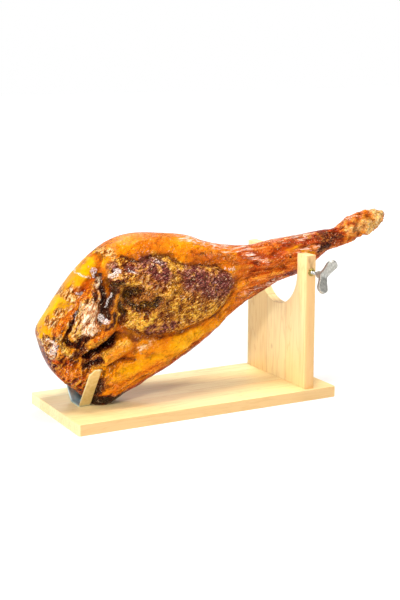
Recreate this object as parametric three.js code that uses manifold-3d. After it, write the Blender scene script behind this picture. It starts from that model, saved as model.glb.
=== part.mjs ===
// A cured ham held in its wooden carving stand.
// Millimetres, +Z up, +X along the board towards the shank, -Y towards the viewer.
// The origin is the middle of the board's underside.
import * as THREE from 'three';
import { mergeVertices } from 'three/addons/utils/BufferGeometryUtils.js';
import Module from 'manifold-3d';

const wasm = await Module();
wasm.setup();

// Driving dimensions
const GAP = 0.3;
const BOARD = { length: 500, width: 220, thickness: 20, corner: 4, edge: 1.2 };
const UPRIGHT = { middle: 198.2, thickness: 18, width: 205, height: 242, edge: 0.8 };
const NOTCH = { y: -2.5, z: 228, radius: 67.5 };
const FORK = { x: -200, width: 20, y: 4, halfWeb: 19, top: 95.3, lean: 35.5, sheet: 2.5, bend: 3, edge: 0.4 };
const FORK_CHAMFER = { run: 8, rise: 8.8 };
const SCREW = { z: 232, radius: 3, clearance: 0.3, tip: 1, footprint: 12 };
const INSERT = {
  flange: 7, flangeHeight: 1.3, chamfer: 0.5, collar: 4.6, collarHeight: 2.2, barrel: 5, length: 22,
};
const HANDLE = { face: -124, hub: 6.4, hubEnd: -144, hubEdge: 2, wings: -139, flare: 31, tilt: 25.5 };
const WING = { reach: 24.5, neck: 11, lobe: 8.6, waist: 6.2, sheet: 6, edge: 1.6 };
const SEGMENTS = { bevel: 2, corner: 4, notch: 28, bore: 24, hub: 20, rod: 16, lobe: 8 };
const OVERCUT = 5;

// Ham: its middle plane passes the fork's centre and turns towards the near arm of the notch
const HAM_PLANE = { x: -200, y: 4, slope: -0.094 };
const HAM_RINGS = 84;
const HAM_RING_SPREAD = 0.45;
const HAM_FRONT_STEPS = 38;
const HAM_BACK_STEPS = 12;
const HAM_ROUNDNESS = { front: 2.3, back: 2.1 };
const HAM_NORMAL_STEP = { along: 0.004, around: 0.02 };
const HAM_RELIEF_FADE = { from: 0.02, to: 0.35 };

// Stations from the butt to the trotter: a point of the upper edge, the point of the lower edge
// below it, and the half thickness towards the front and towards the back
const HAM_STATIONS = [
  { top: [-268, 147], bottom: [-268, 147], front: 0, back: 0 },
  { top: [-265, 164], bottom: [-266, 132], front: 27, back: 28 },
  { top: [-245, 194], bottom: [-255, 95], front: 43, back: 44 },
  { top: [-214, 238], bottom: [-235, 67], front: 52, back: 55 },
  { top: [-181, 273], bottom: [-207, 43], front: 58, back: 62 },
  { top: [-145, 299], bottom: [-174, 12], front: 62, back: 67 },
  { top: [-102, 310], bottom: [-129, 31], front: 63, back: 70 },
  { top: [-56, 308], bottom: [-75, 58], front: 60, back: 68 },
  { top: [-8, 302], bottom: [-24, 85], front: 55, back: 62 },
  { top: [32, 288], bottom: [30, 119], front: 48, back: 53 },
  { top: [75, 279], bottom: [73, 155], front: 41, back: 44 },
  { top: [120, 276], bottom: [120, 185], front: 36, back: 37 },
  { top: [164, 283], bottom: [169, 209], front: 34, back: 35 },
  { top: [213, 288], bottom: [215, 222], front: 31, back: 32 },
  { top: [261, 294], bottom: [261, 255], front: 25, back: 26 },
  { top: [291, 297], bottom: [288, 262], front: 21, back: 22 },
  { top: [321, 316], bottom: [326, 275], front: 22, back: 23 },
  { top: [360, 326], bottom: [359, 287], front: 20, back: 21 },
  { top: [380, 324], bottom: [375, 300], front: 12, back: 12 },
  { top: [389, 317], bottom: [389, 317], front: 0, back: 0 },
];

// Ridges (height above 0) and creases (below 0) of the front face: height, width, then a path of [x, z]
const HAM_STROKES = {
  hipBone: [13, 13, [-150, 232], [-160, 212], [-167, 191], [-173, 167]],
  creaseLeftOfBone: [-9, 11, [-170, 237], [-181, 209], [-189, 176]],
  creaseRightOfBone: [-8, 11, [-139, 220], [-147, 192], [-151, 166]],
  buttLobe: [11, 19, [-206, 190], [-212, 164]],
  rimCrease: [-7, 10, [-181, 257], [-204, 234], [-226, 211], [-245, 188]],
  secondCrease: [-6, 10, [-221, 195], [-245, 164], [-257, 140]],
  deepCrevice: [-12, 12, [-230, 107], [-201, 112], [-179, 125], [-161, 140]],
  flap: [6, 13, [-179, 105], [-159, 118], [-142, 130]],
  creaseBelowFlap: [-5, 10, [-191, 84], [-168, 93], [-148, 106], [-127, 119]],
  buttTip: [6, 15, [-226, 83], [-215, 71]],
  lowerBand: [7, 18, [-155, 58], [-118, 76], [-79, 97], [-39, 119]],
  hollowByBone: [-6, 18, [-122, 209], [-111, 189]],
  upperLeanEdge: [-5, 11, [-133, 268], [-101, 275], [-57, 274], [-3, 260], [39, 252]],
  lowerLeanEdge: [-6, 12, [-140, 150], [-112, 138], [-41, 140], [25, 155], [67, 191]],
  leanSwell: [6, 42, [-59, 210], [12, 212]],
  upperTendon: [3, 10, [73, 265], [130, 270], [184, 278], [233, 283]],
  middleTendon: [4, 10, [63, 237], [115, 246], [168, 257], [199, 263]],
  lowerGroove: [-3, 10, [72, 221], [115, 233], [161, 242]],
  ankleDip: [-3, 12, [262, 276], [278, 282]],
};

// Lumps of the trotter, whose cut end is torn and uneven
const STUMP = { from: 277, to: 316, depth: 1.8, along: 0.23, around: 5, twist: 0.1 };

// Directions along which shapes are extruded
const X = new THREE.Vector3(1, 0, 0);
const Y = new THREE.Vector3(0, 1, 0);
const Z = new THREE.Vector3(0, 0, 1);
const BACK_TO_FRONT = new THREE.Matrix4().makeBasis(X, Z, Y.clone().negate());
const LEFT_TO_RIGHT = new THREE.Matrix4().makeBasis(Y, Z, X);

const BORE = {
  wide: INSERT.barrel + GAP,
  narrow: SCREW.radius + 2 * GAP,
  outer: -UPRIGHT.width / 2,
  inner: NOTCH.y - NOTCH.radius,
};

function material(name, color, roughness, metalness) {
  return new THREE.MeshStandardMaterial({ name, color, roughness, metalness });
}

const MATERIALS = {
  pine: material('pine', 0xe7c48c, 0.55, 0),
  zinc: material('zinc_steel', 0xb9c2c2, 0.35, 1),
  brass: material('brass', 0xb59a4c, 0.35, 1),
  steel: material('screw_steel', 0xb8b8b4, 0.3, 1),
  cast: material('cast_alloy', 0xd9d8d2, 0.42, 1),
  ham: material('cured_ham', 0xb8661c, 0.4, 0),
};

// Booleans
function toSolid(geometry) {
  const bare = geometry.clone();
  bare.deleteAttribute('normal');
  bare.deleteAttribute('uv');
  const merged = mergeVertices(bare);
  return new wasm.Manifold(new wasm.Mesh({
    numProp: 3,
    vertProperties: new Float32Array(merged.attributes.position.array),
    triVerts: new Uint32Array(merged.index.array),
  }));
}

function toGeometry(solid) {
  const mesh = solid.getMesh();
  const geometry = new THREE.BufferGeometry();
  geometry.setAttribute('position', new THREE.BufferAttribute(mesh.vertProperties, 3));
  geometry.setIndex(new THREE.BufferAttribute(mesh.triVerts, 1));
  return geometry;
}

function cut(geometry, ...cutters) {
  return toGeometry(cutters.reduce((solid, cutter) => solid.subtract(toSolid(cutter)), toSolid(geometry)));
}

function join(geometry, ...others) {
  return toGeometry(others.reduce((solid, other) => solid.add(toSolid(other)), toSolid(geometry)));
}

// Extrudes a shape with eased edges; the depth includes the edges
function slab(shape, depth, edge, basis, place, curveSegments = SEGMENTS.corner) {
  const geometry = new THREE.ExtrudeGeometry(shape, {
    depth: depth - 2 * edge,
    bevelEnabled: edge > 0,
    bevelThickness: edge,
    bevelSize: edge,
    bevelOffset: -edge,
    bevelSegments: SEGMENTS.bevel,
    curveSegments,
  });
  geometry.translate(0, 0, edge);
  return geometry.applyMatrix4(basis).translate(place.x, place.y, place.z);
}

function mesh(name, geometry, surface) {
  const part = new THREE.Mesh(geometry, surface);
  part.name = name;
  return part;
}

// Board: one glued plank with rounded corners
function board() {
  const { length, width, thickness, corner, edge } = BOARD;
  const shape = new THREE.Shape();
  const x = length / 2;
  const y = width / 2;
  shape.moveTo(-x + corner, -y);
  shape.lineTo(x - corner, -y);
  shape.absarc(x - corner, -y + corner, corner, -Math.PI / 2, 0);
  shape.lineTo(x, y - corner);
  shape.absarc(x - corner, y - corner, corner, 0, Math.PI / 2);
  shape.lineTo(-x + corner, y);
  shape.absarc(-x + corner, y - corner, corner, Math.PI / 2, Math.PI);
  shape.lineTo(-x, -y + corner);
  shape.absarc(-x + corner, -y + corner, corner, Math.PI, Math.PI * 1.5);
  const flat = new THREE.Matrix4();
  return slab(shape, thickness, edge, flat, new THREE.Vector3(0, 0, 0));
}

// Upright: a plate with a U notch open at the top and a stepped bore through its near arm
function upright() {
  const { middle, thickness, width, height, edge } = UPRIGHT;
  const y = width / 2;
  const foot = BOARD.thickness;
  const top = foot + height;
  const shape = new THREE.Shape();
  shape.moveTo(-y, foot);
  shape.lineTo(y, foot);
  shape.lineTo(y, top);
  shape.lineTo(NOTCH.y + NOTCH.radius, top);
  shape.lineTo(NOTCH.y + NOTCH.radius, NOTCH.z);
  shape.absarc(NOTCH.y, NOTCH.z, NOTCH.radius, 0, -Math.PI, true);
  shape.lineTo(NOTCH.y - NOTCH.radius, top);
  shape.lineTo(-y, top);
  const place = new THREE.Vector3(middle - thickness / 2, 0, 0);
  return cut(slab(shape, thickness, edge, LEFT_TO_RIGHT, place, SEGMENTS.notch), screwBore());
}

function screwBore() {
  const step = BORE.outer + INSERT.length + GAP;
  const profile = [
    [0, BORE.outer - OVERCUT],
    [BORE.wide, BORE.outer - OVERCUT],
    [BORE.wide, step],
    [BORE.narrow, step],
    [BORE.narrow, BORE.inner + OVERCUT],
    [0, BORE.inner + OVERCUT],
  ];
  return turned(profile, SEGMENTS.bore);
}

// A lathe about the screw's axis; profile points are [radius, y]
function turned(profile, segments) {
  const points = profile.map(([radius, y]) => new THREE.Vector2(radius, y));
  return new THREE.LatheGeometry(points, segments).translate(UPRIGHT.middle, 0, SCREW.z);
}

// Fork: one folded strip, grown by a clearance where it is used as a cutter
function fork(clearance = 0) {
  const lean = THREE.MathUtils.degToRad(FORK.lean);
  const out = new THREE.Vector2(Math.sin(lean), Math.cos(lean));
  const thick = FORK.sheet;
  const reach = (FORK.top - BOARD.thickness) / out.y + clearance;
  const foot = BOARD.thickness - clearance;
  const side = (sign) => {
    const corner = new THREE.Vector2(sign * (FORK.halfWeb + clearance / out.y), foot);
    const along = new THREE.Vector2(sign * out.x, out.y);
    const inward = new THREE.Vector2(-sign * out.y, out.x);
    const bent = corner.clone().addScaledVector(along, FORK.bend);
    const onWeb = corner.clone().add(new THREE.Vector2(-sign * FORK.bend, 0));
    const tip = corner.clone().addScaledVector(along, reach);
    const tipInside = tip.clone().addScaledVector(inward, thick + 2 * clearance);
    const webInside = foot + thick + 2 * clearance;
    const slide = (webInside - tipInside.y) / along.y;
    const foldInside = tipInside.clone().addScaledVector(along, slide);
    return { corner, bent, onWeb, tip, tipInside, foldInside };
  };
  const far = side(1);
  const near = side(-1);
  const shape = new THREE.Shape();
  shape.moveTo(near.onWeb.x, near.onWeb.y);
  shape.lineTo(far.onWeb.x, far.onWeb.y);
  shape.quadraticCurveTo(far.corner.x, far.corner.y, far.bent.x, far.bent.y);
  shape.lineTo(far.tip.x, far.tip.y);
  shape.lineTo(far.tipInside.x, far.tipInside.y);
  shape.lineTo(far.foldInside.x, far.foldInside.y);
  shape.lineTo(near.foldInside.x, near.foldInside.y);
  shape.lineTo(near.tipInside.x, near.tipInside.y);
  shape.lineTo(near.tip.x, near.tip.y);
  shape.lineTo(near.bent.x, near.bent.y);
  shape.quadraticCurveTo(near.corner.x, near.corner.y, near.onWeb.x, near.onWeb.y);
  const width = FORK.width + 2 * clearance;
  const place = new THREE.Vector3(FORK.x - width / 2, FORK.y, 0);
  return slab(shape, width, clearance > 0 ? 0 : FORK.edge, LEFT_TO_RIGHT, place);
}

// The corner that is clipped off both arms on the butt's side
function forkChamfer() {
  const left = FORK.x - FORK.width / 2;
  const shape = new THREE.Shape();
  shape.moveTo(left - OVERCUT, FORK.top - FORK_CHAMFER.rise);
  shape.lineTo(left, FORK.top - FORK_CHAMFER.rise);
  shape.lineTo(left + FORK_CHAMFER.run, FORK.top);
  shape.lineTo(left + FORK_CHAMFER.run, FORK.top + OVERCUT);
  shape.lineTo(left - OVERCUT, FORK.top + OVERCUT);
  const place = new THREE.Vector3(0, BOARD.width, 0);
  return slab(shape, 2 * BOARD.width, 0, BACK_TO_FRONT, place);
}

// Insert: a flanged brass bush let into the near arm
function insert() {
  const { flange, flangeHeight, chamfer, collar, collarHeight, barrel, length } = INSERT;
  const face = BORE.outer - GAP;
  const bore = SCREW.radius + SCREW.clearance;
  const profile = [
    [bore, face - collarHeight],
    [collar, face - collarHeight],
    [collar, face - flangeHeight],
    [flange - chamfer, face - flangeHeight],
    [flange, face - flangeHeight + chamfer],
    [flange, face],
    [barrel, face],
    [barrel, BORE.outer + length],
    [bore, BORE.outer + length],
    [bore, face - collarHeight],
  ];
  return turned(profile, SEGMENTS.bore);
}

// Clamp screw: a rod from the shank to the handle, with a chamfered tip
function clampScrew(tipY) {
  const { radius, tip } = SCREW;
  const end = HANDLE.face + GAP;
  const profile = [
    [0, end],
    [radius, end],
    [radius, tipY - tip],
    [radius - tip, tipY],
    [0, tipY],
  ];
  return turned(profile, SEGMENTS.rod);
}

// Handle: two flared paddle wings cast onto a hub
function handle() {
  const { face, hub, hubEnd, hubEdge } = HANDLE;
  const profile = [
    [0, hubEnd],
    [hub - hubEdge, hubEnd],
    [hub, hubEnd + hubEdge],
    [hub, face - hubEdge],
    [hub - hubEdge, face],
    [0, face],
  ];
  return join(turned(profile, SEGMENTS.hub), wing(1), wing(-1));
}

function wing(side) {
  const { reach, neck, lobe, waist, sheet, edge } = WING;
  const shape = new THREE.Shape();
  const spread = Math.acos((lobe - waist) / reach);
  shape.moveTo(0, -waist);
  shape.lineTo(neck, -waist);
  shape.lineTo(reach + lobe * Math.cos(-spread), lobe * Math.sin(-spread));
  shape.absarc(reach, 0, lobe, -spread, spread);
  shape.lineTo(neck, waist);
  shape.lineTo(0, waist);
  const flat = new THREE.Matrix4();
  const paddle = slab(shape, sheet, edge, flat, new THREE.Vector3(0, 0, -sheet / 2), SEGMENTS.lobe);
  const flare = THREE.MathUtils.degToRad(HANDLE.flare);
  const tilt = THREE.MathUtils.degToRad(90 - HANDLE.tilt);
  paddle.rotateX(Math.PI / 2);
  paddle.rotateZ(-flare);
  if (side < 0) {
    paddle.rotateY(Math.PI);
  }
  paddle.rotateY(-tilt);
  return paddle.translate(UPRIGHT.middle, HANDLE.wings, SCREW.z);
}

// Ham
const topEdge = new THREE.SplineCurve(HAM_STATIONS.map((s) => new THREE.Vector2(...s.top)));
const bottomEdge = new THREE.SplineCurve(HAM_STATIONS.map((s) => new THREE.Vector2(...s.bottom)));
const halfWidth = new THREE.SplineCurve(HAM_STATIONS.map((s) => new THREE.Vector2(s.front, s.back)));

function superPower(value, roundness) {
  return Math.sign(value) * Math.abs(value) ** (2 / roundness);
}

// A point of the plain form; the angle runs from the top over the front to the bottom and back
function hamPoint(along, angle) {
  const top = topEdge.getPoint(along);
  const bottom = bottomEdge.getPoint(along);
  const half = halfWidth.getPoint(along);
  const isFront = Math.sin(angle) >= 0;
  const roundness = isFront ? HAM_ROUNDNESS.front : HAM_ROUNDNESS.back;
  const up = superPower(Math.cos(angle), roundness);
  const out = superPower(Math.sin(angle), roundness);
  const x = (top.x + bottom.x) / 2 + ((top.x - bottom.x) / 2) * up;
  const z = (top.y + bottom.y) / 2 + ((top.y - bottom.y) / 2) * up;
  const middle = HAM_PLANE.y + HAM_PLANE.slope * (x - HAM_PLANE.x);
  return new THREE.Vector3(x, middle - Math.max(isFront ? half.x : half.y, 0) * out, z);
}

function hamNormal(along, angle) {
  const step = HAM_NORMAL_STEP;
  const place = THREE.MathUtils.clamp(along, step.along, 1 - step.along);
  const lengthwise = hamPoint(place + step.along, angle).sub(hamPoint(place - step.along, angle));
  const around = hamPoint(place, angle + step.around).sub(hamPoint(place, angle - step.around));
  return around.cross(lengthwise).normalize();
}

function distanceToPath(x, z, path) {
  let nearest = Infinity;
  for (let i = 0; i + 1 < path.length; i += 1) {
    const [ax, az] = path[i];
    const [bx, bz] = path[i + 1];
    const [dx, dz] = [bx - ax, bz - az];
    const along = ((x - ax) * dx + (z - az) * dz) / (dx * dx + dz * dz);
    const share = THREE.MathUtils.clamp(along, 0, 1);
    nearest = Math.min(nearest, Math.hypot(x - ax - share * dx, z - az - share * dz));
  }
  return nearest;
}

function frontRelief(x, z) {
  return Object.values(HAM_STROKES).reduce((sum, [height, width, ...path]) => {
    const share = distanceToPath(x, z, path) / width;
    return sum + height * Math.exp(-share * share);
  }, 0);
}

function stumpRelief(x, angle) {
  const { from, to, depth, along, around, twist } = STUMP;
  const share = THREE.MathUtils.smoothstep(x, from, to);
  return share * depth * Math.sin(along * x) * Math.cos(around * angle + twist * x);
}

function hamSurfacePoint(along, angle) {
  const point = hamPoint(along, angle);
  const { from, to } = HAM_RELIEF_FADE;
  const frontness = THREE.MathUtils.smoothstep(Math.sin(angle), from, to);
  const relief = frontness * frontRelief(point.x, point.z) + stumpRelief(point.x, angle);
  point.addScaledVector(hamNormal(along, angle), relief);
  point.z = Math.max(point.z, BOARD.thickness + GAP);
  return point;
}

// Rings stand closer together at the butt, where the folds are
function ringPlace(share) {
  return share * (HAM_RING_SPREAD + (1 - HAM_RING_SPREAD) * share);
}

function hamAngles() {
  const angles = [];
  for (let i = 0; i < HAM_FRONT_STEPS; i += 1) {
    angles.push((Math.PI * i) / HAM_FRONT_STEPS);
  }
  for (let i = 0; i < HAM_BACK_STEPS; i += 1) {
    angles.push(Math.PI + (Math.PI * i) / HAM_BACK_STEPS);
  }
  return angles;
}

// Two triangles that share the quad's shorter diagonal
function splitQuad(positions, a, b, c, d) {
  const corner = (i) => new THREE.Vector3().fromArray(positions, 3 * i);
  const isShort = corner(a).distanceTo(corner(c)) < corner(b).distanceTo(corner(d));
  return isShort ? [a, b, c, a, c, d] : [a, b, d, b, c, d];
}

function hamBody() {
  const angles = hamAngles();
  const rings = HAM_RINGS;
  const positions = [];
  const indices = [];
  positions.push(...hamPoint(0, 0).toArray());
  for (let ring = 1; ring < rings; ring += 1) {
    const along = ringPlace(ring / rings);
    angles.forEach((angle) => positions.push(...hamSurfacePoint(along, angle).toArray()));
  }
  positions.push(...hamPoint(1, 0).toArray());
  const count = angles.length;
  const last = 1 + (rings - 1) * count;
  for (let i = 0; i < count; i += 1) {
    const next = (i + 1) % count;
    indices.push(0, 1 + next, 1 + i);
    indices.push(last, last - count + i, last - count + next);
    for (let ring = 1; ring + 1 < rings; ring += 1) {
      const here = 1 + (ring - 1) * count;
      const there = here + count;
      indices.push(...splitQuad(positions, here + i, here + next, there + next, there + i));
    }
  }
  const geometry = new THREE.BufferGeometry();
  geometry.setAttribute('position', new THREE.Float32BufferAttribute(positions, 3));
  geometry.setIndex(indices);
  return geometry;
}

// The ham is pressed into the fork, which keeps a hair's clearance
function ham() {
  return cut(hamBody(), fork(GAP));
}

// The foremost point of the patch of shank that the screw presses on
function shankFace(geometry) {
  const position = geometry.attributes.position;
  let face = Infinity;
  for (let i = 0; i < position.count; i += 1) {
    const away = Math.hypot(position.getX(i) - UPRIGHT.middle, position.getZ(i) - SCREW.z);
    if (away < SCREW.footprint) {
      face = Math.min(face, position.getY(i));
    }
  }
  return face;
}

const hamGeometry = ham();
const group = new THREE.Group();
group.add(mesh('base_board', board(), MATERIALS.pine));
group.add(mesh('upright', upright(), MATERIALS.pine));
group.add(mesh('fork', cut(fork(), forkChamfer()), MATERIALS.zinc));
group.add(mesh('thread_insert', insert(), MATERIALS.brass));
group.add(mesh('clamp_screw', clampScrew(shankFace(hamGeometry) - GAP), MATERIALS.steel));
group.add(mesh('wing_handle', handle(), MATERIALS.cast));
group.add(mesh('ham', hamGeometry, MATERIALS.ham));

export default group;
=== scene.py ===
# Looks of a cured ham on its wooden carving stand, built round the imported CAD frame.
import math

import bmesh
import bpy
import numpy as np
from mathutils import Matrix, Vector, noise


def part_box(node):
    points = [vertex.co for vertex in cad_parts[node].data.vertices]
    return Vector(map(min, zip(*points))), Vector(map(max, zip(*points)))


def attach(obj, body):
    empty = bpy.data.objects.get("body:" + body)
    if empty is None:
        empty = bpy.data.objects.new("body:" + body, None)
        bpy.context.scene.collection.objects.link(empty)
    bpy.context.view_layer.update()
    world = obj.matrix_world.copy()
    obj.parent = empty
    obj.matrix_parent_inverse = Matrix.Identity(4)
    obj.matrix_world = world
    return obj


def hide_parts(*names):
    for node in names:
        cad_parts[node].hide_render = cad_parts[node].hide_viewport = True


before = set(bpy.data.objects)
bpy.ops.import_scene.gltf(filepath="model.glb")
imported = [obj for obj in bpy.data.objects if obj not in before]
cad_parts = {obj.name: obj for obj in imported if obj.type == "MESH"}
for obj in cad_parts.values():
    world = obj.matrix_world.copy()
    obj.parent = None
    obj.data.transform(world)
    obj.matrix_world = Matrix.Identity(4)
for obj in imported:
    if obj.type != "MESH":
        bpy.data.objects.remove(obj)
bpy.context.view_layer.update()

MM = 0.001

# Camera, solved from the board's corners and the upright's edges
CAMERA = {"place": (-0.9915, -1.9159, 0.6316), "elevation": 11.753, "azimuth": -28.09, "lens": 75}

# Stand, in millimetres
BOARD_THICKNESS = 20
UPRIGHT = {"middle": 198.2, "thickness": 18, "width": 205, "height": 242, "edge": 0.8}
NOTCH = {"y": -2.5, "z": 228, "radius": 67.5, "steps": 72}
FORK = {
    "x": -200, "width": 20, "y": 4, "half_web": 19, "top": 95.3, "lean": 35.5, "sheet": 2.5, "bend": 3,
    "arm_steps": 12, "bend_steps": 8, "edge": 0.45,
}
FORK_CLIP = {"run": 8, "rise": 8.8}
FORK_COLUMNS = [0, FORK_CLIP["run"] / 2, FORK_CLIP["run"], 14, FORK["width"]]
SCREW = {"z": 232, "radius": 3, "root": 2.45, "pitch": 1.0, "bore": 3.6, "sides": 24, "rings_per_turn": 8}
SCREW_FLANKS = (0.1, 0.9)
SCREW_TIP = {"length": 1.6, "end": 0.1, "radius": 2.0}
INSERT = {
    "flange": 7, "flange_height": 1.3, "collar": 4.6, "collar_height": 2.2, "barrel": 5, "length": 22,
    "sides": 72, "chamfer": 0.4, "collar_edge": 0.3, "fillet": 0.2, "flange_edge": 0.6, "shoulder": 0.15,
}
DRILL = {"beyond": 5, "sides": 48}
HANDLE = {"face": -124, "hub": 6.4, "end": -144, "wings": -139, "flare": 31, "tilt": 25.5, "sides": 48}
HUB_EDGE = {"radial": 1.2, "axial": 1.5}
WING = {"reach": 24, "neck": 11, "lobe": 10.4, "waist": 7.8, "sheet": 6.2, "steps": 24}
CASTING = {"voxel": 0.55, "ease": 0.6, "rounds": 7}
GAP = 0.3

# Ham: its middle plane passes the fork and turns towards the near arm of the notch
HAM_PLANE = {"x": -200, "y": 4, "slope": -0.094}
HAM_RINGS = 420
HAM_RING_SPREAD = 0.62
HAM_STEPS = {"front": 156, "back": 78}
HAM_ROUNDNESS = {"front": 2.3, "back": 2.1}
HAM_NORMAL_STEP = {"along": 0.004, "around": 0.02}
HELD_BY_FORK = {"from": 1.5, "to": 11, "above": 6}
NOTCH_MARGIN = 3

# Stations from the butt to the trotter: upper edge x z, lower edge x z, half thickness front and back
HAM_STATIONS = [
    (-268, 147, -268, 147, 0, 0),
    (-265, 164, -266, 132, 27, 28),
    (-245, 194, -255, 95, 43, 44),
    (-214, 238, -235, 67, 52, 55),
    (-181, 273, -207, 43, 58, 62),
    (-145, 299, -174, 12, 62, 67),
    (-102, 310, -129, 31, 63, 70),
    (-56, 308, -75, 58, 60, 68),
    (-8, 302, -24, 85, 55, 62),
    (32, 288, 30, 119, 48, 53),
    (75, 279, 73, 155, 41, 44),
    (120, 276, 120, 185, 36, 37),
    (164, 283, 169, 209, 34, 35),
    (213, 288, 215, 222, 31, 32),
    (261, 294, 261, 255, 25, 26),
    (291, 297, 288, 262, 21, 22),
    (321, 316, 326, 275, 22, 23),
    (360, 326, 359, 287, 20, 21),
    (380, 324, 375, 300, 12, 12),
    (389, 317, 389, 317, 0, 0),
]

# Relief of the front face, each stroke a height, a width and a path of x z points
MAIN_RELIEF = {
    "hip_bone": (13, 13, (-150, 232), (-160, 212), (-167, 191), (-173, 167)),
    "crease_left_of_bone": (-9, 11, (-170, 237), (-181, 209), (-189, 176)),
    "crease_right_of_bone": (-8, 11, (-139, 220), (-147, 192), (-151, 166)),
    "butt_lobe": (11, 19, (-206, 190), (-212, 164)),
    "rim_crease": (-7, 10, (-181, 257), (-204, 234), (-226, 211), (-245, 188)),
    "second_crease": (-6, 10, (-221, 195), (-245, 164), (-257, 140)),
    "deep_crevice": (-12, 12, (-230, 107), (-201, 112), (-179, 125), (-161, 140)),
    "flap": (6, 13, (-179, 105), (-159, 118), (-142, 130)),
    "crease_below_flap": (-5, 10, (-191, 84), (-168, 93), (-148, 106), (-127, 119)),
    "butt_tip": (6, 15, (-226, 83), (-215, 71)),
    "lower_band": (7, 18, (-155, 58), (-118, 76), (-79, 97), (-39, 119)),
    "hollow_by_bone": (-6, 18, (-122, 209), (-111, 189)),
    "upper_lean_edge": (-5, 11, (-133, 268), (-101, 275), (-57, 274), (-3, 260), (39, 252)),
    "lower_lean_edge": (-6, 12, (-140, 150), (-112, 138), (-41, 140), (25, 155), (67, 191)),
    "lean_swell": (6, 42, (-59, 210), (12, 212)),
    "upper_tendon": (3, 10, (73, 265), (130, 270), (184, 278), (233, 283)),
    "middle_tendon": (4, 10, (63, 237), (115, 246), (168, 257), (199, 263)),
    "lower_groove": (-3, 10, (72, 221), (115, 233), (161, 242)),
    "ankle_dip": (-3, 12, (262, 276), (278, 282)),
}
FINE_RELIEF = {
    "groove_by_rim": (-6, 4.5, (-171, 278), (-185, 258), (-200, 237), (-213, 225)),
    "rim_notch": (-3, 5, (-161, 289), (-169, 277)),
    "fat_over_lean": (
        -2, 3.5, (-139, 280), (-113, 271), (-86, 278), (-54, 277), (-37, 261), (1, 257), (36, 250)
    ),
    "lean_over_fat": (-2.2, 3, (-116, 145), (-84, 138), (-42, 140), (0, 151), (38, 166), (65, 200)),
    "hollow_1": (-7, 6, (-159, 234), (-147, 234)),
    "hollow_2": (-8, 8, (-137, 218), (-119, 220)),
    "hollow_3": (-6, 7, (-111, 195), (-92, 194), (-84, 202)),
    "hollow_4": (-5, 6, (-152, 199), (-143, 185)),
    "hollow_5": (-5, 6, (-135, 204), (-126, 194)),
    "vein_1": (3.5, 3, (-165, 236), (-152, 228), (-138, 233)),
    "vein_2": (3, 3.5, (-151, 184), (-126, 180), (-111, 181)),
    "plateau_edge": (4, 5, (-65, 213), (-85, 193), (-100, 170), (-121, 159)),
    "knob": (8, 8, (-181, 175)),
    "bone_shaft": (6, 5, (-160, 228), (-171, 203), (-178, 186)),
    "fat_streak": (4, 4, (-181, 245), (-181, 228), (-185, 211)),
    "fold_shadow": (-5, 3.5, (-196, 231), (-214, 210), (-232, 186), (-247, 164)),
    "lobe_edge": (-4.5, 3.5, (-215, 203), (-227, 183), (-240, 156), (-239, 139)),
    "lobe_line": (-3, 3, (-197, 225), (-205, 211)),
    "low_crease": (-7, 5, (-238, 140), (-223, 134), (-207, 149)),
    "low_crest": (4, 5, (-253, 156), (-248, 136), (-235, 117)),
    "middle_fold": (6, 6, (-257, 152), (-237, 178), (-218, 198), (-204, 215), (-192, 234)),
    "crevice_core": (-10, 5, (-208, 112), (-190, 125), (-168, 138), (-159, 151)),
    "crevice_branch": (-6, 4, (-209, 97), (-184, 108)),
    "red_flap": (5, 7, (-192, 134), (-180, 146), (-165, 151)),
    "flap_crest": (4, 5, (-182, 115), (-164, 129), (-141, 137)),
    "flap_shadow": (-4, 3, (-172, 97), (-148, 105), (-124, 104)),
    "lip_under_lean": (4, 4, (-139, 164), (-126, 170), (-114, 173)),
    "band_crest": (3, 9, (-167, 64), (-133, 81), (-80, 100), (-23, 120), (31, 151)),
    "band_crease": (-2.5, 4, (-153, 50), (-116, 64), (-75, 82), (-33, 105), (21, 131)),
    "low_wrinkle_1": (-2.5, 4, (-159, 80), (-135, 92), (-118, 94)),
    "low_wrinkle_2": (-2.5, 4, (-94, 107), (-55, 106), (-4, 119)),
    "low_wrinkle_3": (-2.5, 4, (-170, 63), (-134, 72), (-100, 86)),
    "low_wrinkle_4": (-2, 4, (-26, 124), (20, 147), (63, 172)),
    "low_tongue": (3, 6, (-97, 83), (-85, 85), (-61, 89)),
    "red_groove": (-3, 5, (111, 248), (139, 259), (165, 270), (188, 278), (219, 281), (239, 283)),
    "shank_crest": (2, 4, (157, 287), (195, 287), (240, 291)),
    "shank_low_crest": (2.5, 4, (72, 210), (102, 222), (140, 228), (163, 232)),
    "low_groove": (-2.5, 4, (78, 196), (121, 208), (163, 218)),
    "skin_fold": (3.5, 3, (200, 263), (219, 264), (237, 269)),
    "skin_shadow": (-3, 3, (198, 268), (219, 271), (238, 274)),
    "stump_lump_1": (3, 7, (306, 304), (314, 308)),
    "stump_lump_2": (-3, 5, (314, 295), (321, 289)),
    "stump_lump_3": (3, 7, (332, 307), (340, 299)),
    "stump_lump_4": (-3, 4, (345, 315), (352, 307)),
}
STUMP = {"from": 277, "to": 316, "depth": 1.8, "along": 0.23, "around": 5, "twist": 0.1}

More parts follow.
